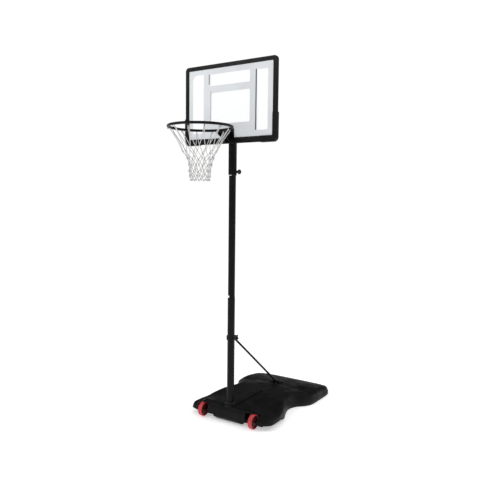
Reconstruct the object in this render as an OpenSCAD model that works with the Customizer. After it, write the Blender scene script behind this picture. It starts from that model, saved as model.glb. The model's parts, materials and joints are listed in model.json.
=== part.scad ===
// Portable basketball hoop on a ballast base, with a sliding upper pole.
// Millimetres. +Z up, +X across the board, the board faces -Y, origin on the floor under the pole axis.

/* [Board] */
// outer width of the backboard frame
board_w = 872; // [800:2:960]
// outer height of the backboard frame
board_h = 628; // [590:2:700]
// front to back depth of the frame
board_t = 24; // [22:1:30]
// outer corner radius of the frame
board_r = 30; // [22:1:40]
// visible width of the frame's side bars
lip_side = 36; // [30:1:44]
// visible height of the frame's top bar
lip_top = 33; // [26:1:40]
// visible height of the frame's bottom bar
lip_bottom = 45; // [40:1:56]

/* [Rim and net] */
// inside diameter of the ring
ring_inner = 450; // [430:2:470]
// diameter of the ring's bar
ring_bar = 20; // [14:1:20]
// clear distance from the board's face to the ring's inside
ring_gap = 134; // [126:2:160]
// height of the ring's bar above the floor
ring_z = 2360; // [2350:2:2370]
// hooks for the net
hook_count = 12; // [8:2:16]
// length of the net below its hooks
net_len = 370; // [330:5:400]

/* [Pole] */
// outside diameter of the lower tube
lower_od = 60; // [59.5:0.5:62]
// outside diameter of the middle tube
middle_od = 56.4; // [55.6:0.2:56.4]
// outside diameter of the sliding upper tube
upper_od = 66; // [66:0.5:68]
// height of the top of the lower tube
lower_top = 1036; // [980:2:1080]
// height of the top of the middle tube
middle_top = 2390; // [2380:2:2395]
// height of the bottom of the sliding tube
upper_bottom = 2027; // [1990:2:2040]

/* [Base] */
// half the width of the base at its front lobes
base_half_w = 404; // [390:1:415]
// height of the base at its highest
base_h = 146; // [144:1:156]
// wall of the hollow base
base_wall = 4; // [3:0.5:5]
// wheel diameter
wheel_d = 120; // [110:1:122]
// wheel width
wheel_w = 36; // [30:1:38]

/* [Hidden] */
$fn = 64;

// board
board_y = -59;
board_back = board_y + board_t;
board_z = ring_z - 88;
panel_t = 4;
panel_y = board_y + 4;
panel_in = 12;
open_w = board_w - 2 * lip_side;
open_h = board_h - lip_top - lip_bottom;
film_t = 0.4;
guard_t = 4;
guard_h = 215;
guard_w = 140;

// rim
ring_r = ring_inner / 2 + ring_bar / 2;
ring_y = board_y - ring_gap - ring_inner / 2;
plate_t = 3;
plate_low = 34;
plate_high = 50;
plate_z0 = board_z + 6;
plate_z1 = ring_z + 26;
arm_x = 20;
arm_reach = ring_gap - ring_bar - 3;
hook_r = 7;
hook_wire = 3;
net_top = ring_z - ring_bar / 2 - 2 * hook_r - 2;
net_wall = 3;

// pole
lower_id = middle_od + 0.4;
middle_id = middle_od - 3.6;
upper_id = upper_od - 4;
upper_top = ring_z + 35;
middle_bottom = lower_top - 120;
socket_z = 30;
joint_z = lower_top - 61;
slide_gap = 0.1;
knob_z = upper_bottom + 24;
pad_tip = middle_od / 2 + 0.1;
screw_tip = pad_tip + 2;
screw_end = upper_od / 2 + 32;
bolt_x = [-36, 36];
bolt_z = [plate_z0 + 16, ring_z - 6];
saddle_t = 3;

// brace
brace_z = 703;
brace_pin_y = 42;
brace_foot_y = 750;
brace_foot_z = 120;
brace_od = 18;
clevis_t = 3;
brace_pin_z = brace_z - 10;
strut_rise = brace_pin_z - brace_foot_z - 14;
strut_run = brace_foot_y - brace_pin_y;
strut_len = norm([strut_rise, strut_run]);
strut_tilt = atan2(strut_run, -strut_rise);

// base
axle_y = -37;
axle_z = wheel_d / 2 + 0.5;
axle_d = 10;
wheel_x = 250;
pocket_in = -wheel_w / 2 - 51;
pocket_out = wheel_w / 2 + 28;
pocket_r = wheel_d / 2 + 5;
axle_end = wheel_x + wheel_w / 2 + 12;
cap_at = [250, 800];
cap_z = 100;
chin_z = 38;
chin_front = -70;
chin_back = -15;
arch_x = 128;
arch_z = 48;
arch_back = 35;
lobe_x = wheel_x + pocket_out - 2;
lobe_z = 46;
lobe_flat = 150;
lobe_back = 310;

// ---- helpers ----

module rod_x(d, x0, x1) {
  translate([x0, 0, 0]) rotate([0, 90, 0]) cylinder(d = d, h = x1 - x0);
}

module rod_y(d, y0, y1) {
  translate([0, y0, 0]) rotate([-90, 0, 0]) cylinder(d = d, h = y1 - y0);
}

module hex_x(across, x0, x1) {
  translate([x0, 0, 0]) rotate([0, 90, 0]) cylinder(d = across / cos(30), h = x1 - x0, $fn = 6);
}

module hex_y(across, y0, y1) {
  translate([0, y0, 0]) rotate([-90, 0, 0]) cylinder(d = across / cos(30), h = y1 - y0, $fn = 6);
}

module tube(od, id, z0, z1) {
  difference() {
    translate([0, 0, z0]) cylinder(d = od, h = z1 - z0);
    translate([0, 0, z0 - 1]) cylinder(d = id, h = z1 - z0 + 2);
  }
}

// rounded rectangle, centred on x, standing on y = 0
module round_rect(w, h, r) {
  translate([-w / 2 + r, 0]) square([w - 2 * r, h]);
  translate([-w / 2, r]) square([w, h - 2 * r]);
  for (x = [-w / 2 + r, w / 2 - r], y = [r, h - r]) translate([x, y]) circle(r = r);
}

// stands a drawing made in X and Z at depth y0 to y1
module upright(y0, y1) {
  translate([0, y1, 0]) rotate([90, 0, 0]) linear_extrude(height = y1 - y0) children();
}

// ---- base ----

// half outline of the base from the middle of the front to the middle of the rear
half_outline = [
  [0, -67], [110, -66.4], [205, -65], [300, -58], [365, -40], [base_half_w - 6, 0], [base_half_w, 60],
  [base_half_w - 6, 150], [base_half_w - 32, 250], [base_half_w - 79, 360], [base_half_w - 111, 450],
  [base_half_w - 114, 520], [base_half_w - 86, 590], [base_half_w - 32, 650], [base_half_w - 4, 720],
  [base_half_w, 850], [base_half_w - 1, 980], [base_half_w - 12, 1060], [base_half_w - 54, 1120],
  [270, 1146], [150, 1154], [0, 1156]
];
outline_steps = 2;
last = len(half_outline) - 1;

function clamp_i(i) = max(0, min(last, i));
function spline(a, b, c, d, t) =
  0.5 * ((2 * b) + (c - a) * t + (2 * a - 5 * b + 4 * c - d) * t * t + (3 * b - a - 3 * c + d) * t * t * t);
function smooth_half() = [
  for (i = [0 : last - 1], s = [0 : outline_steps - 1])
    spline(half_outline[clamp_i(i - 1)], half_outline[i], half_outline[i + 1], half_outline[clamp_i(i + 2)],
      s / outline_steps),
  half_outline[last]
];
half = smooth_half();
n_half = len(half);

function side_in(i) =
  let (
    a = half[max(0, i - 1)],
    b = half[min(n_half - 1, i + 1)],
    d = (b - a) / norm(b - a)
  ) (i == 0) ? [0, 1] : (i == n_half - 1) ? [0, -1] : [-d[1], d[0]];

// height of the top skin along the base
crown = [[-80, 0.97], [60, 1], [440, 0.98], [620, 0.92], [800, 0.8], [1000, 0.6], [1200, 0.35]];
// how much lower the lobes are than the middle, along the base
droop = [[-80, 0.36], [180, 0.36], [340, 0.06], [520, 0], [700, 0.2], [860, 0.04], [1200, 0]];
function ease(t) = let (u = max(0, min(1, t))) u * u * (3 - 2 * u);
function top_at(p) = base_h * lookup(p[1], crown) * (1 - lookup(p[1], droop) * ease((abs(p[0]) - 230) / 120));

// levels of the side wall: inset from the outline, share of the crown's height. The first one lies under the
// floor, where the flat underside is cut
under = -10;
levels = [[16, 0], [0, 0.09], [0, 0.34], [5, 0.6], [13, 0.84], [30, 0.96], [56, 1]];

function inset_point(i, inset) =
  let (p = half[i] + side_in(i) * inset) [(i == 0 || i == n_half - 1) ? 0 : max(p[0], 0.5), p[1]];

function level_point(i, k) =
  let (p = inset_point(i, levels[k][0])) [p[0], p[1], k == 0 ? under : top_at(half[i]) * levels[k][1]];

function ring_of(k) = concat(
  [for (i = [0 : n_half - 1]) level_point(i, k)],
  [for (i = [n_half - 2 : -1 : 1]) let (p = level_point(i, k)) [-p[0], p[1], p[2]]]
);

// closed outer skin of the base, its top rising to a centre line
module base_skin() {
  n_ring = 2 * n_half - 2;
  n_lev = len(levels);
  mid = n_lev * n_ring - 1;
  pts = concat(
    [for (k = [0 : n_lev - 1]) each ring_of(k)],
    [for (i = [1 : n_half - 2]) [0, inset_point(i, levels[n_lev - 1][0])[1], top_at([0, half[i][1]])]]
  );
  top = (n_lev - 1) * n_ring;
  sides = [
    for (k = [0 : n_lev - 2], i = [0 : n_ring - 1])
      let (j = (i + 1) % n_ring, a = k * n_ring, b = a + n_ring)
        each [[a + i, b + i, b + j], [a + i, b + j, a + j]]
  ];
  lid = [
    for (i = [0 : n_half - 2])
      let (
        l0 = (i == 0) ? top : top + n_ring - i,
        l1 = (i == n_half - 2) ? top + n_half - 1 : top + n_ring - i - 1,
        c0 = (i == 0) ? top : mid + i,
        c1 = (i == n_half - 2) ? top + n_half - 1 : mid + i + 1,
        r0 = top + i,
        r1 = top + i + 1
      )
        each concat(
          i == n_half - 2 ? [] : [[r0, c1, r1], [c0, l1, c1]],
          i == 0 ? [] : [[r0, c0, c1], [c0, l0, l1]]
        )
  ];
  polyhedron(points = pts, faces = concat([[for (i = [0 : n_ring - 1]) i]], sides, lid));
}

// a drawing made in Y and Z, drawn out across the base
module across(x0, x1) {
  translate([x0, 0, 0]) rotate([90, 0, 90]) linear_extrude(height = x1 - x0) children();
}

// hollow for water or sand: upright walls under a ceiling that slopes to the rear and to the sides
module ballast_room() {
  inset = 20 + base_wall;
  intersection() {
    translate([0, 0, base_wall]) linear_extrude(height = base_h) polygon(concat(
      [for (i = [0 : n_half - 1]) inset_point(i, inset)],
      [for (i = [n_half - 2 : -1 : 1]) let (p = inset_point(i, inset)) [-p[0], p[1]]]
    ));
    across(-base_half_w, base_half_w) polygon(concat(
      [[1200, 0], [-100, 0]],
      [for (c = crown) [c[0], base_h * c[1] * 0.9]]
    ));
    translate([0, 1200, 0]) rotate([90, 0, 0]) linear_extrude(height = 1300) polygon([
      [-base_half_w, 0], [base_half_w, 0], [base_half_w, 70], [280, 88], [0, base_h - 11], [-280, 88],
      [-base_half_w, 70]
    ]);
  }
}

// cut that clears the underside: level out to y_flat, then falling to meet the floor at y_foot
module underside_slope(y_flat, z_flat, y_foot, grow) {
  run = (y_foot - y_flat) / z_flat;
  polygon([
    [-200, -20], [y_foot + grow + run * (20 + grow), -20], [y_flat + grow, z_flat + grow], [-200, z_flat + grow]
  ]);
}

// raised chin between the wheels, higher beside them, and under both front lobes: it clears the floor when tipped
module underside_cut(grow) {
  across(-base_half_w - 20, base_half_w + 20) underside_slope(chin_front, chin_z, chin_back, grow);
  for (s = [0, 1]) mirror([s, 0, 0]) {
    across(arch_x - grow, wheel_x) underside_slope(chin_front, arch_z, arch_back, grow);
    across(lobe_x - grow, base_half_w + 20) underside_slope(lobe_flat, lobe_z, lobe_back, grow);
  }
}

module wheel_pocket(grow) {
  for (s = [0, 1]) mirror([s, 0, 0]) translate([wheel_x, axle_y, axle_z]) {
    rod_x(2 * (pocket_r + grow), pocket_in - grow, pocket_out + grow);
    translate([pocket_in - grow, -pocket_r - grow, -axle_z - 1])
      cube([pocket_out - pocket_in + 2 * grow, 2 * (pocket_r + grow), axle_z + 1]);
  }
}

module base_tank() {
  color([0.07, 0.07, 0.08]) difference() {
    union() {
      base_skin();
      // raised collar round the pole and spine behind it
      translate([0, 0, 60]) cylinder(d = 104, h = base_h - 54);
      translate([-50, 0, base_h - 40]) cube([100, 420, 46]);
      translate([0, 420, base_h - 40]) cylinder(d = 100, h = 46);
    }
    // flat seats sunk in the top for the brace foot and the filler cap
    translate([-60, brace_foot_y - 55, brace_foot_z - 10]) cube([120, 110, 80]);
    translate([cap_at[0], cap_at[1], cap_z]) cylinder(d = 88, h = 80);
    translate([-500, -100, 5 * under]) cube([1000, 1400, -5 * under]);
    underside_cut(0);
    // ballast space
    difference() {
      ballast_room();
      underside_cut(base_wall);
      wheel_pocket(base_wall);
      cylinder(d = lower_od + 14, h = base_h + 10);
      translate([0, axle_y, axle_z]) rod_x(axle_d + 10, -wheel_x, wheel_x);
      translate([-66, brace_foot_y - 61, brace_foot_z - 36]) cube([132, 122, 120]);
      difference() {
        translate([cap_at[0], cap_at[1], cap_z - 32]) cylinder(d = 96, h = 100);
        translate([cap_at[0], cap_at[1], cap_z - 33]) cylinder(d = 66, h = 26);
      }
    }
    wheel_pocket(0);
    translate([0, 0, socket_z]) cylinder(d = lower_od + 0.2, h = 200);
    translate([0, axle_y, axle_z]) rod_x(axle_d + 0.2, -wheel_x, wheel_x);
    // filler bore
    translate([cap_at[0], cap_at[1], cap_z - 50]) cylinder(d = 44.2, h = 100);
    // blind holes for the foot screws
    for (x = [-24, 24], y = [-32, 32]) translate([x, brace_foot_y + y, brace_foot_z - 28]) cylinder(d = 4, h = 40);
  }
}

module cap_seal() {
  color([0.12, 0.12, 0.12]) translate([cap_at[0], cap_at[1], 0]) tube(60, 44.6, cap_z, cap_z + 2);
}

module filler_cap() {
  color([0.16, 0.16, 0.17]) translate([cap_at[0], cap_at[1], 0]) difference() {
    union() {
      translate([0, 0, cap_z - 14]) cylinder(d = 44, h = 16);
      translate([0, 0, cap_z + 2]) cylinder(d = 62, h = 8);
      translate([-24, -4, cap_z + 10]) cube([48, 8, 8]);
      for (a = [0 : 20 : 359]) rotate(a) translate([31, 0, cap_z + 2]) cylinder(d = 3, h = 8);
    }
    translate([0, 0, cap_z - 15]) cylinder(d = 36, h = 14);
  }
}

module axle() {
  color([0.7, 0.7, 0.72]) translate([0, axle_y, axle_z]) rod_x(axle_d, -axle_end, axle_end);
}

module wheel_shape() {
  rotate([0, 90, 0]) rotate_extrude() polygon([
    [axle_d / 2 + 0.1, -wheel_w / 2], [15, -wheel_w / 2], [16, -wheel_w / 2 + 5],
    [wheel_d / 2 - 14, -wheel_w / 2 + 7],
    [wheel_d / 2 - 11, -wheel_w / 2], [wheel_d / 2 - 4, -wheel_w / 2], [wheel_d / 2 - 1, -wheel_w / 2 + 3],
    [wheel_d / 2, -6], [wheel_d / 2, 6], [wheel_d / 2 - 1, wheel_w / 2 - 3], [wheel_d / 2 - 4, wheel_w / 2],
    [wheel_d / 2 - 11, wheel_w / 2], [wheel_d / 2 - 14, wheel_w / 2 - 7], [16, wheel_w / 2 - 5],
    [15, wheel_w / 2], [axle_d / 2 + 0.1, wheel_w / 2]
  ]);
}

module wheel_body() {
  difference() {
    wheel_shape();
    // pockets between the spokes
    for (a = [0 : 60 : 359]) rotate([a, 0, 0]) translate([0, 0, 31]) rod_x(17, -wheel_w, wheel_w);
  }
}

module wheel_left() {
  color([0.75, 0.16, 0.2]) translate([-wheel_x, axle_y, axle_z]) wheel_body();
}

module wheel_right() {
  color([0.75, 0.16, 0.2]) translate([wheel_x, axle_y, axle_z]) wheel_body();
}

module axle_washers() {
  color([0.7, 0.7, 0.72]) for (s = [-1, 1], e = [-1, 1])
    translate([s * wheel_x + e * (wheel_w / 2 + 3) - 1, axle_y, axle_z]) difference() {
      rod_x(24, 0, 2);
      rod_x(axle_d + 0.2, -1, 3);
    }
}

module axle_caps() {
  color([0.7, 0.7, 0.72]) translate([0, axle_y, axle_z]) for (s = [0, 1]) mirror([s, 0, 0]) difference() {
    rod_x(20, axle_end - 4, axle_end + 4);
    rod_x(axle_d, axle_end - 5, axle_end);
  }
}

// ---- pole ----

module joint_bore(d) {
  translate([0, 0, joint_z]) rod_y(d, -60, 60);
}

module pole_lower() {
  color([0.06, 0.06, 0.07]) difference() {
    tube(lower_od, lower_id, socket_z, lower_top);
    joint_bore(8.2);
    translate([0, 0, brace_z]) rod_x(8.2, -60, 60);
  }
}

module pole_middle() {
  color([0.06, 0.06, 0.07]) difference() {
    tube(middle_od, middle_id, middle_bottom, middle_top);
    joint_bore(8.2);
  }
}

module pole_socket_ring() {
  color([0.1, 0.1, 0.1]) difference() {
    translate([0, 0, base_h + 6]) cylinder(d1 = 88, d2 = 78, h = 14);
    translate([0, 0, base_h]) cylinder(d = lower_od + 0.2, h = 40);
  }
}

module bolt_x(z, y, d, half_len, head) {
  translate([0, y, z]) {
    rod_x(d, -half_len, half_len + 12);
    hex_x(head, -half_len - 5, -half_len);
  }
}

module nut_x(z, y, d, half_len, across) {
  translate([0, y, z]) difference() {
    hex_x(across, half_len, half_len + 7);
    rod_x(d, half_len - 1, half_len + 8);
  }
}

module joint_bolt() {
  color([0.1, 0.1, 0.1]) rotate([0, 0, 90]) bolt_x(joint_z, 0, 8, lower_od / 2, 13);
}

module joint_nut() {
  color([0.1, 0.1, 0.1]) rotate([0, 0, 90]) nut_x(joint_z, 0, 8, lower_od / 2, 13);
}

// ---- brace ----

module brace_clevis() {
  color([0.08, 0.08, 0.08]) difference() {
    union() {
      for (s = [0, 1]) mirror([s, 0, 0]) {
        translate([lower_od / 2, -18, brace_z - 22]) cube([clevis_t, brace_pin_y + 30, 40]);
      }
      // web behind the pole
      translate([-lower_od / 2, lower_od / 2 + 0.2, brace_z - 22]) cube([lower_od, 3, 40]);
    }
    translate([0, 0, brace_z]) rod_x(8.2, -60, 60);
    translate([0, brace_pin_y, brace_pin_z]) rod_x(8.2, -60, 60);
  }
}

module brace_bolt() {
  color([0.1, 0.1, 0.1]) bolt_x(brace_z, 0, 8, lower_od / 2 + clevis_t, 13);
}

module brace_nut() {
  color([0.1, 0.1, 0.1]) nut_x(brace_z, 0, 8, lower_od / 2 + clevis_t, 13);
}

module brace_pin() {
  color([0.1, 0.1, 0.1]) bolt_x(brace_pin_z, brace_pin_y, 8, lower_od / 2 + clevis_t, 13);
}

module brace_pin_nut() {
  color([0.1, 0.1, 0.1]) nut_x(brace_pin_z, brace_pin_y, 8, lower_od / 2 + clevis_t, 13);
}

module brace_strut() {
  color([0.06, 0.06, 0.07]) difference() {
    union() {
      translate([0, brace_pin_y, brace_pin_z]) {
        rod_x(16, -lower_od / 2 + 0.2, lower_od / 2 - 0.2);
        rotate([-strut_tilt, 0, 0]) cylinder(d = brace_od, h = strut_len);
      }
      translate([0, brace_foot_y, brace_foot_z + 14]) rod_x(16, -19.8, 19.8);
    }
    translate([0, brace_pin_y, brace_pin_z]) rod_x(8.2, -60, 60);
    translate([0, brace_foot_y, brace_foot_z + 14]) rod_x(8.2, -60, 60);
    // hollow of the strut between its ends
    translate([0, brace_pin_y, brace_pin_z]) rotate([-strut_tilt, 0, 0])
      translate([0, 0, 16]) cylinder(d = brace_od - 3, h = strut_len - 32);
  }
}

module brace_foot() {
  color([0.08, 0.08, 0.08]) difference() {
    union() {
      translate([-36, brace_foot_y - 44, brace_foot_z - 10]) cube([72, 88, 3]);
      for (s = [0, 1]) mirror([s, 0, 0]) translate([20, brace_foot_y, brace_foot_z - 10]) {
        translate([0, -14, 0]) cube([clevis_t, 28, 24]);
        translate([0, 0, 24]) rod_x(28, 0, clevis_t);
      }
    }
    translate([0, brace_foot_y, brace_foot_z + 14]) rod_x(8.2, -60, 60);
    for (x = [-24, 24], y = [-32, 32]) translate([x, brace_foot_y + y, 0]) cylinder(d = 5.2, h = 300);
  }
}

module foot_pin() {
  color([0.1, 0.1, 0.1]) bolt_x(brace_foot_z + 14, brace_foot_y, 8, 23, 13);
}

module foot_pin_nut() {
  color([0.1, 0.1, 0.1]) nut_x(brace_foot_z + 14, brace_foot_y, 8, 23, 13);
}

module foot_screws() {
  color([0.1, 0.1, 0.1]) for (x = [-24, 24], y = [-32, 32]) translate([x, brace_foot_y + y, brace_foot_z - 10]) {
    translate([0, 0, 3]) cylinder(d = 9, h = 3);
    translate([0, 0, -14]) cylinder(d = 4, h = 18);
  }
}

// ---- sliding upper part ----

module pole_upper() {
  color([0.06, 0.06, 0.07]) difference() {
    tube(upper_od, upper_id, upper_bottom, upper_top);
    translate([0, 0, knob_z]) rod_x(8.2, 0, 60);
  }
}

module glide(z0, z1, flange_z) {
  difference() {
    union() {
      translate([0, 0, z0]) cylinder(d = upper_id, h = z1 - z0);
      translate([0, 0, flange_z]) cylinder(d = upper_od, h = 4);
    }
    translate([0, 0, z0 - 10]) cylinder(d = middle_od + 2 * slide_gap, h = z1 - z0 + 20);
  }
}

module glide_lower() {
  color([0.55, 0.56, 0.58]) difference() {
    glide(upper_bottom, upper_bottom + 46, upper_bottom - 4);
    translate([0, 0, knob_z]) rod_x(9, 0, 60);
  }
}

module glide_upper() {
  color([0.55, 0.56, 0.58]) glide(upper_top - 46, upper_top, upper_top);
}

module nut_boss() {
  color([0.1, 0.1, 0.1]) translate([0, 0, knob_z]) difference() {
    rod_x(22, upper_od / 2 - 4, upper_od / 2 + 12);
    rod_x(8.2, 0, 100);
    translate([0, 0, -50]) cylinder(d = upper_od, h = 100);
  }
}

module lock_pad() {
  color([0.85, 0.85, 0.82]) translate([0, 0, knob_z]) rod_x(7.6, pad_tip, screw_tip);
}

module lock_screw() {
  color([0.6, 0.6, 0.62]) translate([0, 0, knob_z]) {
    rod_x(8, screw_tip, screw_end);
  }
}

module lock_knob() {
  color([0.05, 0.05, 0.06]) translate([0, 0, knob_z]) difference() {
    union() {
      translate([upper_od / 2 + 16, 0, 0]) rotate([0, 90, 0]) rotate_extrude() polygon([
        [0, 0], [11, 0], [12, 5], [16, 9], [17, 12], [17, 22], [16, 25], [13, 27], [0, 28]
      ]);
      for (a = [0 : 60 : 359]) rotate([a, 0, 0]) translate([upper_od / 2 + 26, 0, 15]) rod_x(8, 0, 13);
    }
    rod_x(8, upper_od / 2, screw_end);
  }
}

module pole_saddle() {
  color([0.07, 0.07, 0.08]) difference() {
    union() {
      translate([-58, board_back, plate_z0]) cube([116, saddle_t, upper_top - plate_z0]);
      for (s = [0, 1]) mirror([s, 0, 0]) translate([22.5, board_back + saddle_t - 1, plate_z0])
        cube([4, 17, upper_top - plate_z0]);
    }
    translate([0, 0, plate_z0 - 1]) cylinder(d = upper_od, h = 400);
    for (x = bolt_x, z = bolt_z) translate([x, 0, z]) rod_y(8.2, -60, 20);
  }
}

module board_outline() {
  translate([0, board_z]) round_rect(board_w, board_h, board_r);
}

module board_opening() {
  translate([0, board_z + lip_bottom]) round_rect(open_w, open_h, 8);
}

module bolt_bores(d) {
  for (x = bolt_x, z = bolt_z) translate([x, 0, z]) rod_y(d, board_y - 40, board_back + 40);
}

module board_frame() {
  color([0.08, 0.08, 0.09]) difference() {
    upright(board_y, board_back) board_outline();
    upright(board_y - 1, board_back + 1) board_opening();
    upright(panel_y, panel_y + panel_t) panel_shape(0);
    // the frame is an open channel at the back
    upright(panel_y + panel_t + 8, board_back + 1) difference() {
      translate([0, board_z + 4]) round_rect(board_w - 8, board_h - 8, board_r - 4);
      translate([0, board_z + lip_bottom - 4]) round_rect(open_w + 8, open_h + 8, 12);
      translate([-64, board_z]) square([128, lip_bottom]);
    }
    bolt_bores(8.2);
  }
}

module board_guards() {
  color([0.06, 0.06, 0.07]) intersection() {
    difference() {
      upright(board_y - guard_t, board_back + guard_t)
        translate([0, board_z - guard_t])
          round_rect(board_w + 2 * guard_t, board_h + 2 * guard_t, board_r + guard_t);
      upright(board_y, board_back) board_outline();
      upright(board_y - 10, board_back + 10) board_opening();
    }
    for (s = [0, 1]) mirror([s, 0, 0]) {
      translate([board_w / 2 - guard_w, -200, board_z - 10]) cube([guard_w + 20, 300, lip_bottom + 10]);
      translate([board_w / 2 - lip_side, -200, board_z - 10]) cube([lip_side + 20, 300, guard_h + 10]);
    }
  }
}

module panel_shape(less) {
  translate([0, board_z + lip_bottom - panel_in + less])
    round_rect(open_w + 2 * (panel_in - less), open_h + 2 * (panel_in - less), 10);
}

module board_panel() {
  color([0.86, 0.88, 0.9, 0.5]) difference() {
    upright(panel_y, panel_y + panel_t) panel_shape(0.2);
    bolt_bores(8.2);
  }
}

// clear windows in the frosted film: x, height above the board's foot, width, height, top left radius
windows = [
  [-361, 92, 110, 465, 46], [-184, 460, 377, 90, 10], [-174, 160, 367, 245, 26], [275, 90, 80, 452, 10]
];

module window_shape(w) {
  translate([w[0] + w[2] / 2, board_z + w[1]]) {
    difference() {
      round_rect(w[2], w[3], 10);
      translate([-w[2] / 2 - 1, w[3] - w[4]]) square([w[4] + 1, w[4] + 1]);
    }
    translate([-w[2] / 2 + w[4], w[3] - w[4]]) intersection() {
      circle(r = w[4]);
      translate([-w[4], -1]) square([w[4] + 1, w[4] + 1]);
    }
  }
}

module board_film() {
  color([0.8, 0.82, 0.84]) difference() {
    upright(panel_y - film_t, panel_y) translate([0, board_z + lip_bottom + 0.5])
      round_rect(open_w - 1, open_h - 1, 7.5);
    for (w = windows) upright(panel_y - 5, panel_y + 5) window_shape(w);
    // the rim bracket is bolted straight onto the sheet
    upright(panel_y - 5, panel_y + 5) bracket_outline(0.5);
  }
}

// ---- rim ----

module bracket_outline(grow) {
  polygon([
    [-plate_high - 4 - grow, plate_z0 - grow], [plate_high + 4 + grow, plate_z0 - grow],
    [plate_high + grow, ring_z - 14], [plate_low + 14 + grow, plate_z1 + grow],
    [-plate_low - 14 - grow, plate_z1 + grow], [-plate_high - grow, ring_z - 14]
  ]);
}

module rim_bracket() {
  color([0.06, 0.06, 0.07]) difference() {
    union() {
      upright(board_y - plate_t, board_y) bracket_outline(0);
      // pad that fills the step down to the sheet
      upright(board_y, panel_y) intersection() {
        bracket_outline(0);
        translate([-100, board_z + lip_bottom + 0.5]) square([200, 300]);
      }
      // side arms under the ring
      for (s = [0, 1]) mirror([s, 0, 0]) translate([arm_x + plate_t, 0, 0]) rotate([90, 0, -90])
        linear_extrude(height = plate_t) polygon([
          [-board_y + 1, plate_z0 + 6], [-board_y + 1, ring_z + 8], [-board_y + arm_reach, ring_z + 8],
          [-board_y + arm_reach + 30, ring_z - 4], [-board_y + arm_reach + 30, ring_z - 14],
          [-board_y + 14, plate_z0 + 6]
        ]);
      // web between the arms, under the ring
      translate([-arm_x, board_y - arm_reach + 22, ring_z - 20]) cube([2 * arm_x, 3, 26]);
    }
    rim_bar(0);
    bolt_bores(8.2);
  }
}

module rim_bar(grow) {
  translate([0, ring_y, ring_z]) rotate_extrude() translate([ring_r, 0]) circle(d = ring_bar + 2 * grow);
}

module rim_ring() {
  color([0.05, 0.05, 0.06]) rim_bar(0);
}

module net_hooks() {
  color([0.05, 0.05, 0.06]) difference() {
    for (i = [0 : hook_count - 1]) translate([0, ring_y, ring_z - ring_bar / 2 - hook_r + 2])
      rotate(90 + (i + 0.5) * 360 / hook_count) translate([ring_r, 0, 0]) rotate([90, 0, 0])
        rotate_extrude() translate([hook_r, 0]) circle(d = hook_wire, $fn = 24);
    rim_bar(0);
  }
}

// ring of net cord drawn as one thin sleeve with the net's outer shape
net_profile = [[0.96, 0], [0.81, 0.15], [0.655, 0.3], [0.5, 0.455], [0.41, 0.58], [0.36, 0.76], [0.345, 0.88],
  [0.32, 1]];

module net() {
  color([0.93, 0.93, 0.9]) translate([0, ring_y, net_top]) rotate_extrude() polygon(concat(
    [for (p = net_profile) [p[0] * (ring_r - 4), -p[1] * net_len]],
    [for (i = [len(net_profile) - 1 : -1 : 0])
      let (p = net_profile[i]) [p[0] * (ring_r - 4) - net_wall, -p[1] * net_len]]
  ));
}

module rim_bolts() {
  color([0.12, 0.12, 0.12]) for (x = bolt_x, z = bolt_z) translate([x, 0, z]) {
    rod_y(8, board_y - plate_t, board_back + saddle_t + 16);
    hex_y(13, board_y - plate_t - 5, board_y - plate_t);
  }
}

module rim_washers() {
  color([0.6, 0.6, 0.62]) for (x = bolt_x, z = bolt_z) translate([x, 0, z]) difference() {
    rod_y(16, board_back + saddle_t, board_back + saddle_t + 1.6);
    rod_y(8.2, 0 - 60, 60);
  }
}

module rim_spacers() {
  color([0.1, 0.1, 0.1]) for (x = bolt_x) translate([x, 0, bolt_z[1]]) difference() {
    rod_y(16, panel_y + panel_t, board_back);
    rod_y(8.2, -100, 60);
  }
}

module rim_nuts() {
  color([0.6, 0.6, 0.62]) for (x = bolt_x, z = bolt_z) translate([x, 0, z]) difference() {
    hex_y(13, board_back + saddle_t + 1.6, board_back + saddle_t + 8.6);
    rod_y(8, -60, 60);
  }
}

base_tank();
cap_seal();
filler_cap();
axle();
wheel_left();
wheel_right();
axle_washers();
axle_caps();
pole_lower();
pole_middle();
joint_bolt();
joint_nut();
pole_socket_ring();
brace_clevis();
brace_bolt();
brace_nut();
brace_strut();
brace_pin();
brace_pin_nut();
brace_foot();
foot_pin();
foot_pin_nut();
foot_screws();
pole_upper();
glide_lower();
glide_upper();
nut_boss();
lock_pad();
lock_screw();
lock_knob();
pole_saddle();
board_frame();
board_guards();
board_panel();
board_film();
rim_bracket();
rim_ring();
net_hooks();
net();
rim_bolts();
rim_nuts();
rim_washers();
rim_spacers();
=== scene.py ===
"""Looks of a portable basketball hoop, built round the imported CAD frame. Metres throughout."""

import json
import math

import bmesh
import bpy
from mathutils import Matrix, Vector


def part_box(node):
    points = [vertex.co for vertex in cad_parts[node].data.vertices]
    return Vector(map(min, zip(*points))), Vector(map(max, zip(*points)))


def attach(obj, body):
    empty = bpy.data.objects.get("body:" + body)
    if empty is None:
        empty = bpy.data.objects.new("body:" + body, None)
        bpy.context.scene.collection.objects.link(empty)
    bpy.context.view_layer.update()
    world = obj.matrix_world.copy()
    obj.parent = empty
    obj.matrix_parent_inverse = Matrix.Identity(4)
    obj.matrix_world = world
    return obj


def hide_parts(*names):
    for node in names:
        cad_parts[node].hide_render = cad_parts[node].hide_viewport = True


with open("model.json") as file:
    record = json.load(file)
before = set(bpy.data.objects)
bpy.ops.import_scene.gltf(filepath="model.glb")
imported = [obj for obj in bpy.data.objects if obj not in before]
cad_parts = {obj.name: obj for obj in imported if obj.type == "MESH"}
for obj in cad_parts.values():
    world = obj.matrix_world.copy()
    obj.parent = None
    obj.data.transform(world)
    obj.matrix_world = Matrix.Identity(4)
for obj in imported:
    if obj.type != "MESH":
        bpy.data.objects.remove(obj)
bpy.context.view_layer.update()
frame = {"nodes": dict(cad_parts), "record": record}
nodes = frame["nodes"]
scene = bpy.context.scene

MM = 0.001


# ---- camera, light and floor ----

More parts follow.
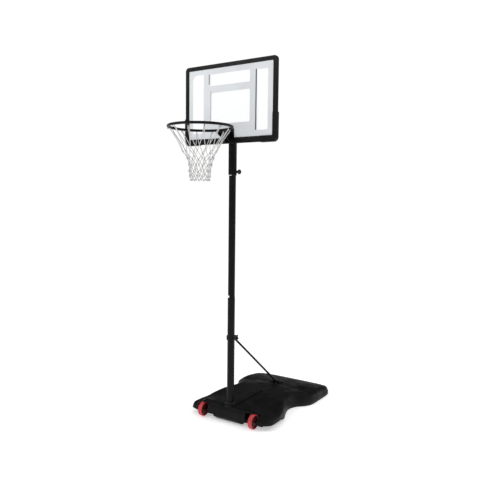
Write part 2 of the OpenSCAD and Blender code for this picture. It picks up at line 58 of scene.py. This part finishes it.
CAMERA_AT = Vector((2.584, -3.712, 1.82))
CAMERA_TURN = 32.976
CAMERA_DOWN = 4.978
CAMERA_ROLL = 0.68
CAMERA_LENS = 40.32
CAMERA_SENSOR = 36

# strength of the white surroundings: as seen, as they light matt surfaces, and as black gloss mirrors them
SKY_SEEN = 1.02
SKY_DIFFUSE = 0.72
SKY_MIRRORED = 0.14
# lamps: name, place, aim, width of the disk and power in watts
LAMPS = [
    ("key", (-2.4, -3.4, 4.6), (0, 0.2, 1.5), 1.6, 60),
    ("edge", (3.4, 1.8, 3.6), (0, 0.2, 1.4), 1.4, 40),
]
FLOOR_REACH = 30


def make_camera():
    cam = bpy.data.objects.new("camera", bpy.data.cameras.new("camera"))
    scene.collection.objects.link(cam)
    cam.data.sensor_width = CAMERA_SENSOR
    cam.data.lens = CAMERA_LENS
    cam.location = CAMERA_AT
    turn = Matrix.Rotation(math.radians(CAMERA_TURN), 4, "Z")
    tilt = Matrix.Rotation(math.radians(90 - CAMERA_DOWN), 4, "X")
    roll = Matrix.Rotation(math.radians(CAMERA_ROLL), 4, "Z")
    cam.rotation_euler = (turn @ tilt @ roll).to_euler()
    scene.camera = cam


def area_light(name, at, aim, size, power):
    lamp = bpy.data.lights.new(name, "AREA")
    lamp.shape = "DISK"
    lamp.size = size
    lamp.energy = power
    obj = bpy.data.objects.new(name, lamp)
    scene.collection.objects.link(obj)
    obj.location = at
    obj.rotation_euler = (Vector(aim) - Vector(at)).to_track_quat("-Z", "Y").to_euler()


def make_light():
    """Even white surroundings, softer where they only light the object, and two lamps for the edges."""
    scene.view_settings.view_transform = "Standard"
    world = bpy.data.worlds.new("studio")
    scene.world = world
    world.use_nodes = True
    tree = world.node_tree
    back = tree.nodes["Background"]
    back.inputs["Color"].default_value = (1, 1, 1, 1)
    rays = tree.nodes.new("ShaderNodeLightPath")

    def times_plus(value, factor, base):
        node = tree.nodes.new("ShaderNodeMath")
        node.operation = "MULTIPLY_ADD"
        node.inputs[1].default_value = factor
        tree.links.new(value, node.inputs[0])
        if isinstance(base, float):
            node.inputs[2].default_value = base
        else:
            tree.links.new(base, node.inputs[2])
        return node.outputs[0]

    strength = times_plus(rays.outputs["Is Diffuse Ray"], SKY_DIFFUSE - SKY_SEEN, SKY_SEEN)
    strength = times_plus(rays.outputs["Is Glossy Ray"], SKY_MIRRORED - SKY_SEEN, strength)
    strength = times_plus(rays.outputs["Is Transmission Ray"], SKY_SEEN - SKY_MIRRORED, strength)
    tree.links.new(strength, back.inputs["Strength"])
    for lamp in LAMPS:
        area_light(*lamp)


def make_floor():
    """Matt white floor that glows a little, so that it meets the white surroundings without a line."""
    mesh = bpy.data.meshes.new("floor")
    far = FLOOR_REACH
    corners = [(-far, -far, 0), (far, -far, 0), (far, far, 0), (-far, far, 0)]
    mesh.from_pydata(corners, [], [(0, 1, 2, 3)])
    floor = bpy.data.objects.new("floor", mesh)
    scene.collection.objects.link(floor)
    mat = bpy.data.materials.new("floor_white")
    mat.use_nodes = True
    shader = mat.node_tree.nodes["Principled BSDF"]
    shader.inputs["Base Color"].default_value = (0.9, 0.9, 0.9, 1)
    shader.inputs["Roughness"].default_value = 0.9
    shader.inputs["Specular IOR Level"].default_value = 0.0
    shader.inputs["Emission Color"].default_value = (1, 1, 1, 1)
    shader.inputs["Emission Strength"].default_value = 0.4
    mesh.materials.append(mat)


# ---- materials ----


class Paint:
    """A Principled material whose colour, roughness and relief come from noise in the object's own space."""

    def __init__(self, name, colour, rough, metal=0.0, specular=0.5):
        self.mat = bpy.data.materials.new(name)
        self.mat.use_nodes = True
        self.tree = self.mat.node_tree
        self.shader = self.tree.nodes["Principled BSDF"]
        self.shader.inputs["Base Color"].default_value = (*colour, 1)
        self.shader.inputs["Roughness"].default_value = rough
        self.shader.inputs["Metallic"].default_value = metal
        self.shader.inputs["Specular IOR Level"].default_value = specular
        self.colour = colour
        self.place = self.tree.nodes.new("ShaderNodeTexCoord").outputs["Object"]
        self.relief = None

    def set(self, **values):
        for key, value in values.items():
            self.shader.inputs[key.replace("_", " ")].default_value = value
        return self

    def node(self, kind, **props):
        made = self.tree.nodes.new(kind)
        for key, value in props.items():
            setattr(made, key, value)
        return made

    def noise(self, scale, detail):
        tex = self.node("ShaderNodeTexNoise")
        tex.inputs["Scale"].default_value = scale
        tex.inputs["Detail"].default_value = detail
        tex.inputs["Roughness"].default_value = 0.5
        self.tree.links.new(self.place, tex.inputs["Vector"])
        return tex.outputs["Fac"]

    def remap(self, value, low, high, to_low, to_high):
        node = self.node("ShaderNodeMapRange")
        node.inputs["From Min"].default_value = low
        node.inputs["From Max"].default_value = high
        node.inputs["To Min"].default_value = to_low
        node.inputs["To Max"].default_value = to_high
        self.tree.links.new(value, node.inputs["Value"])
        return node.outputs["Result"]

    def math(self, operation, a, b):
        node = self.node("ShaderNodeMath", operation=operation)
        for socket, value in zip(node.inputs, (a, b)):
            if isinstance(value, (int, float)):
                socket.default_value = value
            else:
                self.tree.links.new(value, socket)
        return node.outputs[0]

    def axis(self, letter):
        split = self.node("ShaderNodeSeparateXYZ")
        self.tree.links.new(self.place, split.inputs[0])
        return split.outputs[letter]

    def inside(self, **spans):
        """1 where the point lies inside every named axis span, in metres."""
        mask = None
        for letter, (low, high) in spans.items():
            value = self.axis(letter)
            above = self.math("GREATER_THAN", value, low)
            span = self.math("MULTIPLY", above, self.math("LESS_THAN", value, high))
            mask = span if mask is None else self.math("MULTIPLY", mask, span)
        return mask

    def tint(self, mask, colour):
        """Mixes a colour in where mask is 1."""
        mix = self.node("ShaderNodeMix", data_type="RGBA")
        target = self.shader.inputs["Base Color"]
        if target.is_linked:
            self.tree.links.new(target.links[0].from_socket, mix.inputs["A"])
        else:
            mix.inputs["A"].default_value = target.default_value
        mix.inputs["B"].default_value = (*colour, 1)
        self.tree.links.new(mask, mix.inputs["Factor"])
        self.tree.links.new(mix.outputs["Result"], target)
        return self

    def blotch(self, scale, colour, low=0.45, high=0.7):
        """Patches of another colour where the noise is high."""
        return self.tint(self.remap(self.noise(scale, 4), low, high, 0, 1), colour)

    def gloss_range(self, scale, low, high):
        """Lets the roughness wander between two values."""
        value = self.remap(self.noise(scale, 3), 0.35, 0.65, low, high)
        self.tree.links.new(value, self.shader.inputs["Roughness"])
        return self

    def bump(self, height, depth):
        """Adds relief of the given depth, in metres, on top of any that is there."""
        node = self.node("ShaderNodeBump")
        node.inputs["Strength"].default_value = 1.0
        node.inputs["Distance"].default_value = depth
        self.tree.links.new(height, node.inputs["Height"])
        if self.relief:
            self.tree.links.new(self.relief, node.inputs["Normal"])
        self.relief = node.outputs["Normal"]
        self.tree.links.new(self.relief, self.shader.inputs["Normal"])
        return self


def tank_plastic():
    p = Paint("tank_plastic", (0.0045, 0.0047, 0.0045), 0.5, specular=0.13)
    p.blotch(9, (0.0085, 0.0085, 0.009), 0.42, 0.66)
    p.blotch(70, (0.017, 0.017, 0.017), 0.68, 0.8)
    # pale dust that settles along the foot of the walls
    foot = p.remap(p.axis("Z"), 0.0, 0.03, 0.14, 0)
    p.tint(p.math("MULTIPLY", foot, p.noise(40, 4)), (0.16, 0.15, 0.13))
    p.gloss_range(14, 0.42, 0.58)
    p.bump(p.noise(520, 2), 0.35 * MM)
    p.bump(p.noise(26, 2), 0.8 * MM)
    return p


def powder_paint(name, colour, rough, specular):
    p = Paint(name, colour, rough, specular=specular)
    p.blotch(6, tuple(1.6 * c for c in colour), 0.45, 0.65)
    p.blotch(240, (0.025, 0.025, 0.026), 0.72, 0.8)
    p.gloss_range(20, rough - 0.05, rough + 0.08)
    p.bump(p.noise(330, 2), 0.12 * MM)
    return p


def frame_plastic():
    p = Paint("frame_plastic", (0.0038, 0.004, 0.004), 0.42, specular=0.15)
    p.blotch(7, (0.007, 0.007, 0.008), 0.42, 0.66)
    p.blotch(160, (0.02, 0.02, 0.021), 0.7, 0.8)
    p.gloss_range(18, 0.36, 0.5)
    p.bump(p.noise(800, 2), 0.18 * MM)
    return p


def metal(name, colour, rough, darker):
    p = Paint(name, colour, rough, metal=1.0)
    p.blotch(90, darker, 0.45, 0.62)
    p.gloss_range(260, rough - 0.08, rough + 0.12)
    p.bump(p.noise(900, 2), 0.04 * MM)
    return p


def tube_paint():
    """Black powder coat, with a painted highlight: a pale patch on the left of the lower tube's mouth."""
    p = powder_paint("tube_paint", (0.0035, 0.0036, 0.0036), 0.38, 0.13)
    _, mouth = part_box("pole_lower")
    # painted highlight: a pale glint on the left of the lower tube's mouth
    p.tint(p.inside(X=(-0.05, -0.002), Y=(-0.05, 0.004), Z=(mouth.z, mouth.z + 0.018)), (0.85, 0.85, 0.85))
    return p


def glide_plastic():
    """Dark bush with a painted highlight: a pale patch on the front-left of the sliding tube's end."""
    p = soft_plastic("glide_plastic", (0.02, 0.02, 0.021), 0.42, 600)
    # painted highlight: a pale glint on the bush's front-left
    p.tint(p.inside(X=(-0.05, 0.012), Y=(-0.05, 0)), (0.85, 0.85, 0.85))
    return p


def zinc():
    """Zinc plate, with painted shade darkening it on the axle between the wheel pockets."""
    p = metal("zinc", (0.66, 0.66, 0.67), 0.32, (0.5, 0.5, 0.5))
    # painted shade: axle, washers and caps darkened inside the base's pockets
    p.tint(p.inside(X=(-0.285, 0.285), Z=(0, 0.12)), (0.06, 0.055, 0.05))
    return p


def wheel_plastic():
    """Red plastic, turning much darker within about 50 mm of the axle."""
    p = Paint("wheel_plastic", (0.56, 0.045, 0.055), 0.42, specular=0.4)
    p.blotch(30, (0.46, 0.028, 0.036), 0.42, 0.62)
    p.blotch(180, (0.2, 0.05, 0.05), 0.66, 0.78)
    low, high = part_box("wheel_left")
    y = p.math("SUBTRACT", p.axis("Y"), (low.y + high.y) / 2)
    z = p.math("SUBTRACT", p.axis("Z"), (low.z + high.z) / 2)
    radius = p.math("SQRT", p.math("ADD", p.math("MULTIPLY", y, y), p.math("MULTIPLY", z, z)), 0.0)
    # much darker within about 50 mm of the axle
    p.tint(p.remap(radius, 0.05, 0.056, 1, 0), (0.085, 0.008, 0.007))
    p.gloss_range(60, 0.34, 0.52)
    p.bump(p.noise(600, 2), 0.1 * MM)
    return p


def soft_plastic(name, colour, rough, grain):
    p = Paint(name, colour, rough, specular=0.35)
    p.blotch(35, tuple(0.75 * c for c in colour), 0.42, 0.65)
    p.gloss_range(45, rough - 0.06, rough + 0.08)
    p.bump(p.noise(grain, 2), 0.12 * MM)
    return p


def clear_sheet():
    p = Paint("panel_clear", (0.86, 0.9, 0.92), 0.03, specular=0.4)
    p.set(Alpha=0.1)
    p.gloss_range(3, 0.02, 0.07)
    p.bump(p.noise(5, 1), 0.15 * MM)
    return p


# dark and pale lines painted on the grey, in millimetres: x from and to, height above the board's foot from
# and to, colour
BOARD_STRIPES = [
    (244, 255, 91, 546, (0.055, 0.06, 0.08)),
    (259, 275, 91, 546, (0.9, 0.92, 0.94)),
    (-201, -192, 473, 552, (0.14, 0.16, 0.2)),
    (-182, -176, 169, 423, (0.3, 0.33, 0.36)),
]


def board_print():
    """Satin grey print, with dark and pale lines painted across it."""
    low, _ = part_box("board_frame")
    p = Paint("panel_print", (0.62, 0.645, 0.665), 0.4, specular=0.3)
    p.blotch(2.2, (0.7, 0.72, 0.735), 0.4, 0.65)
    p.blotch(600, (0.56, 0.585, 0.61), 0.55, 0.7)
    # dark and pale lines painted on the grey board face
    for x0, x1, z0, z1, colour in BOARD_STRIPES:
        p.tint(p.inside(X=(x0 * MM, x1 * MM), Z=(low.z + z0 * MM, low.z + z1 * MM)), colour)
    p.gloss_range(12, 0.34, 0.48)
    p.bump(p.noise(900, 2), 0.02 * MM)
    return p


def net_cord_paint():
    p = Paint("net_cord", (0.64, 0.64, 0.635), 0.8, specular=0.15)
    p.set(Sheen_Weight=0.08, Sheen_Roughness=0.5)
    p.blotch(60, (0.5, 0.5, 0.49), 0.4, 0.66)
    p.blotch(420, (0.34, 0.34, 0.34), 0.5, 0.75)
    p.bump(p.noise(1500, 2), 0.15 * MM)
    return p


MAKERS = {
    "tank_plastic": tank_plastic,
    "cap_plastic": lambda: soft_plastic("cap_plastic", (0.009, 0.009, 0.01), 0.45, 700),
    "seal_rubber": lambda: soft_plastic("seal_rubber", (0.02, 0.02, 0.02), 0.75, 900),
    "wheel_plastic": wheel_plastic,
    "zinc": zinc,
    "tube_paint": tube_paint,
    "black_bolt": lambda: metal("black_bolt", (0.05, 0.05, 0.054), 0.4, (0.03, 0.03, 0.033)),
    "glide_plastic": glide_plastic,
    "pad_nylon": lambda: soft_plastic("pad_nylon", (0.72, 0.71, 0.66), 0.5, 600),
    "frame_plastic": frame_plastic,
    "panel_clear": clear_sheet,
    "panel_print": board_print,
    "rim_paint": lambda: powder_paint("rim_paint", (0.003, 0.0031, 0.0031), 0.34, 0.15),
    "net_cord": net_cord_paint,
}
paints = {slot: make().mat for slot, make in MAKERS.items()}


def paint_cad():
    """Every CAD node takes the material of its slot in the record."""
    for part in frame["record"]["subparts"]:
        mesh = nodes[part["node"]].data
        mesh.materials.clear()
        mesh.materials.append(paints[part["material_slot"]])
        for face in mesh.polygons:
            face.material_index = 0


# rounding of the sharp edges of some moulded and pressed parts, in millimetres
SOFT_EDGES = {"board_frame": 2.5, "board_guards": 1.5, "rim_bracket": 0.8, "pole_saddle": 0.8}


def soften(node, width):
    """Rounds a moulded or pressed part's sharp edges, so that they catch the light."""
    obj = nodes[node]
    weld = obj.modifiers.new("weld", "WELD")
    weld.merge_threshold = 0.01 * MM
    edge = obj.modifiers.new("edge", "BEVEL")
    edge.width = width * MM
    edge.segments = 3
    edge.limit_method = "ANGLE"
    edge.angle_limit = math.radians(35)
    edge.harden_normals = True


def add_piece(name, verts, faces, slot, body):
    """A new smooth piece that rides on a body and takes its finish from a slot."""
    mesh = bpy.data.meshes.new(name)
    mesh.from_pydata([tuple(v) for v in verts], [], faces)
    mesh.validate()
    mesh.materials.append(paints[slot])
    mesh.shade_smooth()
    obj = bpy.data.objects.new(name, mesh)
    scene.collection.objects.link(obj)
    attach(obj, body)
    return obj


def lerp_table(table, t):
    """Value of a table of (key, value) pairs at t, between its neighbours."""
    for (t0, v0), (t1, v1) in zip(table, table[1:]):
        if t <= t1:
            return v0 + (v1 - v0) * (t - t0) / (t1 - t0)
    return table[-1][1]


def catmull(points, per_span):
    """A smooth curve through the points."""
    out = []
    for i in range(len(points) - 1):
        a = points[max(i - 1, 0)]
        b, c = points[i], points[i + 1]
        d = points[min(i + 2, len(points) - 1)]
        for s in range(per_span):
            t = s / per_span
            out.append(
                0.5
                * (
                    2 * b
                    + (c - a) * t
                    + (2 * a - 5 * b + 4 * c - d) * t * t
                    + (3 * b - a - 3 * c + d) * t * t * t
                )
            )
    out.append(points[-1])
    return out


def join_meshes(parts):
    """One list of vertices and faces from several."""
    verts, faces = [], []
    for v, f in parts:
        base = len(verts)
        verts += v
        faces += [tuple(base + i for i in face) for face in f]
    return verts, faces


# ---- base shell ----

BASE_H = 146
# half outline from the middle of the front to the middle of the rear, in millimetres
OUTLINE = [
    (0, -67), (110, -66.4), (205, -65), (300, -58), (365, -40), (398, 0), (404, 60), (398, 150),
    (372, 250), (325, 360), (293, 450), (290, 520), (318, 590), (372, 650), (400, 720), (404, 850),
    (403, 980), (392, 1060), (350, 1120), (270, 1146), (150, 1154), (0, 1156),
]
# share of the height along the middle line, and how much of it the lid loses towards its sides, by y
CROWN = [(-80, 0.97), (60, 1), (440, 0.98), (620, 0.92), (800, 0.8), (1000, 0.6), (1200, 0.35)]
DROOP = [(-80, 0.36), (180, 0.36), (340, 0.06), (520, 0), (700, 0.2), (860, 0.04), (1200, 0)]
# side wall: inset from the outline and share of the height, with the mould's parting bead at the middle
SIDE = [
    (9, 0), (3, 0.03), (0, 0.09), (0, 0.31), (-1.3, 0.33), (-1.3, 0.35), (0, 0.37), (5, 0.6),
    (13, 0.84), (30, 0.96), (56, 1),
]
LID_STEPS = 28
# wheel pockets: the axle's place, the walls' x and the radius
AXLE_Y, AXLE_Z = -37, 60.5
POCKET_X = (181, 296)
POCKET_R = 65
# slopes that clear the floor under the chin, beside the wheels and under the front lobes:
# |x| from and to, then where the slope starts, its height there and where it meets the floor
CHIN_X, CHIN_SLOPE = 424, (-70, 38, -15)
ARCH_X, ARCH_SLOPE = (128, 250), (-70, 48, 35)
LOBE_X, LOBE_SLOPE = (294, 424), (150, 46, 310)
# seat of the brace's foot: half its width, y from and to, height
FOOT_SEAT = (60, 695, 805, 110)
# seat of the filler cap: x, y and height, then the radius of the seat and of the bore
CAP_SEAT = (250, 800, 100)
CAP_SEAT_R, CAP_BORE_R = 44, 22.1
# spine behind the pole: its length, the radius of its rear and front ends, and its height
SPINE_LENGTH, SPINE_R, COLLAR_R = 420, 50, 52
SPINE_FOOT, SPINE_ROUND = 90, 6


def soft_lookup(table, t, blur=24):
    """Table value with its kinks rounded off."""
    return sum(lerp_table(table, t + blur * k / 3) for k in range(-3, 4)) / 7


def base_top(x, y):
    """Height of the lid."""
    u = max(0.0, min(1.0, (abs(x) - 230) / 120))
    return BASE_H * soft_lookup(CROWN, y) * (1 - soft_lookup(DROOP, y) * u * u * (3 - 2 * u))


def shell_mesh():
    """Closed skin of the ballast base: a rounded side wall under a lid that rises to its middle line."""
    half = catmull([Vector((x, y, 0)) for x, y in OUTLINE], 7)
    last = len(half) - 1
    inward = []
    for i in range(len(half)):
        d = (half[min(last, i + 1)] - half[max(0, i - 1)]).normalized()
        inward.append(Vector((-d.y, d.x, 0)))
    inward[0], inward[last] = Vector((0, 1, 0)), Vector((0, -1, 0))
    side = catmull([Vector((inset, share, 0)) for inset, share in SIDE], 3)
    verts, faces = [], []
    ring = 2 * last

    def wall_point(i, level):
        p = half[i] + inward[i] * side[level].x
        x = 0.0 if i in (0, last) else p.x
        return x, p.y, base_top(half[i].x, half[i].y) * side[level].y

    for level in range(len(side)):
        verts += [wall_point(i, level) for i in range(last + 1)]
        verts += [(-x, y, z) for x, y, z in (wall_point(i, level) for i in range(last - 1, 0, -1))]
    for level in range(len(side) - 1):
        for k in range(ring):
            a, b = level * ring + k, level * ring + (k + 1) % ring
            faces.append((a, b, b + ring, a + ring))
    faces.append(tuple(range(ring - 1, -1, -1)))
    top = (len(side) - 1) * ring
    across = LID_STEPS
    rows = []
    for i in range(last + 1):
        right = top + i
        if i in (0, last):
            rows.append([right] * (across + 1))
            continue
        left = top + ring - i
        x0, y0, z0 = verts[right]
        middle = base_top(0, half[i].y)
        row = [right]
        for k in range(1, across):
            s = 1 - 2 * k / across
            u = 1 - abs(s)
            row.append(len(verts))
            verts.append((x0 * s, y0, z0 + (middle - z0) * u * (1.35 - 0.35 * u * u)))
        rows.append(row + [left])
    for low, high in zip(rows, rows[1:]):
        for k in range(across):
            face = tuple(dict.fromkeys((low[k], high[k], high[k + 1], low[k + 1])))
            if len(face) > 2:
                faces.append(face)
    return [Vector(v) * MM for v in verts], faces


def prism(points, lo, hi, place):
    """A closed prism: place turns a point of the drawing and a height into a position, in millimetres."""
    n = len(points)
    verts = [Vector(place(a, b, h)) * MM for h in (lo, hi) for a, b in points]
    faces = [(k, (k + 1) % n, n + (k + 1) % n, n + k) for k in range(n)]
    faces += [tuple(range(n - 1, -1, -1)), tuple(range(n, 2 * n))]
    return verts, faces


def circle_points(x, y, r, count=64, start=0.0, turn=360.0):
    """Points on a circle, or on an arc with both its ends."""
    steps = count if turn == 360.0 else count + 1
    angles = [math.radians(start + turn * k / count) for k in range(steps)]
    return [(x + r * math.cos(a), y + r * math.sin(a)) for a in angles]


def rounded_box(x0, x1, y0, y1, r):
    corners = [(x1 - r, y1 - r), (x0 + r, y1 - r), (x0 + r, y0 + r), (x1 - r, y0 + r)]
    points = []
    for quarter, (x, y) in enumerate(corners):
        points += circle_points(x, y, r, 8, 90 * quarter, 90.0)
    return points


def along_x(a, b, h):
    return h, a, b


def along_z(a, b, h):
    return a, b, h


def slope_points(y_flat, z_flat, y_foot):
    """Side view of a slanted cut that runs on below the floor."""
    run = (y_foot - y_flat) / z_flat
    return [(-200, -20), (y_foot + run * 20, -20), (y_flat, z_flat), (-200, z_flat)]


def base_cutters():
    """Everything that is taken out of the base's skin."""
    above = 200
    pocket = circle_points(AXLE_Y, AXLE_Z, POCKET_R, 48, 0, 180.0)
    pocket += [(AXLE_Y - POCKET_R, -5), (AXLE_Y + POCKET_R, -5)]
    cuts = [prism(slope_points(*CHIN_SLOPE), -CHIN_X, CHIN_X, along_x)]
    for side in (-1, 1):
        sided = [
            (slope_points(*ARCH_SLOPE), ARCH_X),
            (slope_points(*LOBE_SLOPE), LOBE_X),
            (pocket, POCKET_X),
        ]
        for drawing, span in sided:
            cuts.append(prism(drawing, *sorted(side * x for x in span), along_x))
    half, y0, y1, z = FOOT_SEAT
    cuts.append(prism(rounded_box(-half, half, y0, y1, 10), z, above, along_z))
    x, y, z = CAP_SEAT
    cuts.append(prism(circle_points(x, y, CAP_SEAT_R), z, above, along_z))
    cuts.append(prism(circle_points(x, y, CAP_BORE_R), z - 50, above, along_z))
    return cuts


def spine_mesh():
    """Raised collar round the pole and the spine behind it, with a rounded upper edge."""
    outline = circle_points(0, SPINE_LENGTH, SPINE_R, 40, 0, 180.0)
    outline += circle_points(0, 0, COLLAR_R, 40, 180, 180.0)
    levels = [(0, SPINE_FOOT), (0, BASE_H)]
    for degrees in range(15, 91, 15):
        a = math.radians(degrees)
        levels.append((SPINE_ROUND - SPINE_ROUND * math.cos(a), BASE_H + SPINE_ROUND * math.sin(a)))
    verts, faces = [], []
    n = len(outline)
    for inset, z in levels:
        for x, y in outline:
            core = Vector((0, max(0, min(SPINE_LENGTH, y)), 0))
            out = Vector((x, y, 0)) - core
            p = core + out * ((out.length - inset) / out.length)
            verts.append((p.x, p.y, z))
    for level in range(len(levels) - 1):
        for k in range(n):
            a, b = level * n + k, level * n + (k + 1) % n
            faces.append((a, b, b + n, a + n))
    faces.append(tuple(range(n - 1, -1, -1)))
    faces.append(tuple(range((len(levels) - 1) * n, len(levels) * n)))
    return [Vector(v) * MM for v in verts], faces


def plain_object(name, verts, faces):
    """A working object whose faces all point outwards."""
    mesh = bpy.data.meshes.new(name)
    mesh.from_pydata([tuple(v) for v in verts], [], faces)
    obj = bpy.data.objects.new(name, mesh)
    scene.collection.objects.link(obj)
    work = bmesh.new()
    work.from_mesh(mesh)
    bmesh.ops.recalc_face_normals(work, faces=work.faces)
    work.to_mesh(mesh)
    work.free()
    return obj


def make_base():
    """Smooth skin of the ballast base, cut out and with soft edges, in place of the faceted CAD shell."""
    shell = plain_object("base_work", *shell_mesh())
    cutters = [plain_object(f"cut_{i}", *cut) for i, cut in enumerate(base_cutters())]
    for cutter in cutters:
        mod = shell.modifiers.new(cutter.name, "BOOLEAN")
        mod.operation = "DIFFERENCE"
        mod.solver = "EXACT"
        mod.object = cutter
    soft = shell.modifiers.new("soft", "BEVEL")
    soft.width = 1.6 * MM
    soft.segments = 2
    soft.limit_method = "ANGLE"
    soft.angle_limit = math.radians(42)
    bpy.context.view_layer.update()
    made = bpy.data.meshes.new_from_object(shell.evaluated_get(bpy.context.evaluated_depsgraph_get()))
    verts = [v.co.copy() for v in made.vertices]
    faces = [tuple(face.vertices) for face in made.polygons]
    for obj in [shell, *cutters]:
        bpy.data.objects.remove(obj)
    base = add_piece("base_shell", *join_meshes([(verts, faces), spine_mesh()]), "tank_plastic", "base")
    base.data.set_sharp_from_angle(angle=math.radians(38))
    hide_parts("base_tank")


# ---- net ----

HOOKS = 12
CORD_D = 5.6 * MM
# rows of crossings and the net's outline: share of its length from the top, and share of the ring's radius
NET_ROWS = [0.0, 0.41, 0.55, 0.68, 0.8, 0.9, 1.0]
NET_PROFILE = [
    (0, 0.96), (0.15, 0.81), (0.3, 0.655), (0.455, 0.5), (0.58, 0.41), (0.76, 0.36), (0.88, 0.345),
    (1, 0.32),
]


def wobble(row, k):
    """A small fixed unevenness, the same for both cords that meet at a knot."""
    seed = 12.9898 * row + 78.233 * k
    return math.sin(seed), math.sin(1.7 * seed + 1.3), math.sin(2.3 * seed + 0.4)


def net_frame():
    """The net's centre line, the radius that its outline is a share of, and its lowest and highest z."""
    low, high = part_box("net")
    centre = Vector(((low.x + high.x) / 2, (low.y + high.y) / 2, 0))
    reach = (high.x - low.x) / 2 / lerp_table(NET_PROFILE, 0)
    return centre, reach, low.z, high.z


def knot_at(row, half_step):
    """Where two cords meet: half_step counts half hook spacings round the ring."""
    centre, reach, low, high = net_frame()
    t = NET_ROWS[row]
    da, dz, dr = wobble(row, half_step % (2 * HOOKS)) if 0 < row < len(NET_ROWS) - 1 else (0, 0, 0)
    angle = math.radians(90 + 15 + (half_step + 0.26 * da) * 180 / HOOKS)
    radius = reach * lerp_table(NET_PROFILE, t) * (1 + 0.03 * dr) - CORD_D / 2
    z = high - (high - low) * t + 6 * MM * dz
    if row == len(NET_ROWS) - 1:
        z += CORD_D
    return centre + Vector((radius * math.cos(angle), radius * math.sin(angle), z))


def outward(point):
    """Level direction from the net's centre line to a point."""
    centre, _, _, _ = net_frame()
    return Vector((point.x - centre.x, point.y - centre.y, 0)).normalized()


def rope_mesh(path, radius, sides=12, lobes=3, pitch=0.016):
    """A laid rope: a tube whose section has lobes that turn along it."""
    verts, faces = [], []
    run = 0.0
    side = None
    for i, p in enumerate(path):
        ahead = path[min(i + 1, len(path) - 1)]
        behind = path[max(i - 1, 0)]
        along = (ahead - behind).normalized()
        if i:
            run += (p - path[i - 1]).length
        side = along.orthogonal() if side is None else side - along * side.dot(along)
        side.normalize()
        up = along.cross(side)
        for k in range(sides):
            a = 2 * math.pi * k / sides
            r = radius * (0.88 + 0.12 * math.cos(lobes * (a - 2 * math.pi * run / pitch / lobes)))
            verts.append(p + side * (r * math.cos(a)) + up * (r * math.sin(a)))
    for i in range(len(path) - 1):
        for k in range(sides):
            a, b = i * sides + k, i * sides + (k + 1) % sides
            faces.append((a, b, b + sides, a + sides))
    last = (len(path) - 1) * sides
    faces.append(tuple(range(sides - 1, -1, -1)))
    faces.append(tuple(range(last, last + sides)))
    return verts, faces


def strand_points(hook, hand):
    """The route of one cord: out of its hook, then from knot to knot down the net."""
    points = []
    last = len(NET_ROWS) - 1
    for row in range(last + 1):
        knot = knot_at(row, 2 * hook + hand * row)
        out = outward(knot)
        across = Vector((-out.y, out.x, 0))
        p = knot
        if row == 0:
            p = knot + across * (CORD_D * 0.5 * hand)
        elif row < last:
            # the two cords lie one over the other at a knot
            over = 1 if (row + (hand > 0)) % 2 else -1
            p = knot + out * (over * CORD_D * 0.42)
        points.append(p)
        if row < last:
            q = knot_at(row + 1, 2 * hook + hand * (row + 1))
            middle = (p + q) / 2 - out * (0.02 * (q - p).length)
            if row == 0:
                # the pair from one hook hangs close together before it parts
                middle += Vector((knot.x - q.x, knot.y - q.y, 0)).project(across) * 0.22
            points.append(middle)
    return points


def make_net():
    """Two cords from every hook, each a piece of its own."""
    for hook in range(HOOKS):
        for hand in (1, -1):
            path = catmull(strand_points(hook, hand), 14)
            name = f"net_cord_{hook + 1:02d}{'a' if hand > 0 else 'b'}"
            verts, faces = rope_mesh(path, CORD_D / 2)
            rope = add_piece(name, verts, faces, "net_cord", "upper")
            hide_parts("net")


def upright_coil(centre, radius, turns, height, per_turn=20):
    """Points of a short coil round an upright line."""
    along = Vector((0, 0, 1))
    side = along.orthogonal().normalized()
    up = along.cross(side)
    count = int(turns * per_turn)
    points = []
    for i in range(count + 1):
        a = 2 * math.pi * i / per_turn
        rise = along * (height * (i / count - 0.5))
        points.append(centre + rise + side * (radius * math.cos(a)) + up * (radius * math.sin(a)))
    return points


def make_knots():
    """A turn of cord round every crossing, and one round the feet of the cords."""
    parts = []
    for row in range(1, len(NET_ROWS)):
        for k in range(HOOKS):
            coil = upright_coil(knot_at(row, 2 * k + row), CORD_D * 0.92, 1.6, CORD_D * 1.3)
            parts.append(rope_mesh(coil, CORD_D * 0.36, 8))
    add_piece("net_knots", *join_meshes(parts), "net_cord", "upper")


def make_loops():
    """The loop that ties each pair of cords to its hook."""
    hook_low, hook_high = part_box("net_hooks")
    hook_z = (hook_low.z + hook_high.z) / 2
    parts = []
    for k in range(HOOKS):
        top = knot_at(0, 2 * k)
        out = outward(top)
        across = Vector((-out.y, out.x, 0))
        rise = hook_z - top.z - 2 * MM
        ring = []
        for i in range(25):
            a = math.radians(-50 + 280 * i / 24)
            lift = Vector((0, 0, rise * (0.45 + 0.55 * math.sin(a))))
            ring.append(top + across * (CORD_D * 0.75 * math.cos(a)) + lift)
        parts.append(rope_mesh(catmull(ring, 2), CORD_D * 0.4, 8))
    add_piece("net_loops", *join_meshes(parts), "net_cord", "upper")


make_camera()
make_light()
make_floor()
paint_cad()
for edged_node, edge_width in SOFT_EDGES.items():
    soften(edged_node, edge_width)
make_base()
make_net()
make_knots()
make_loops()
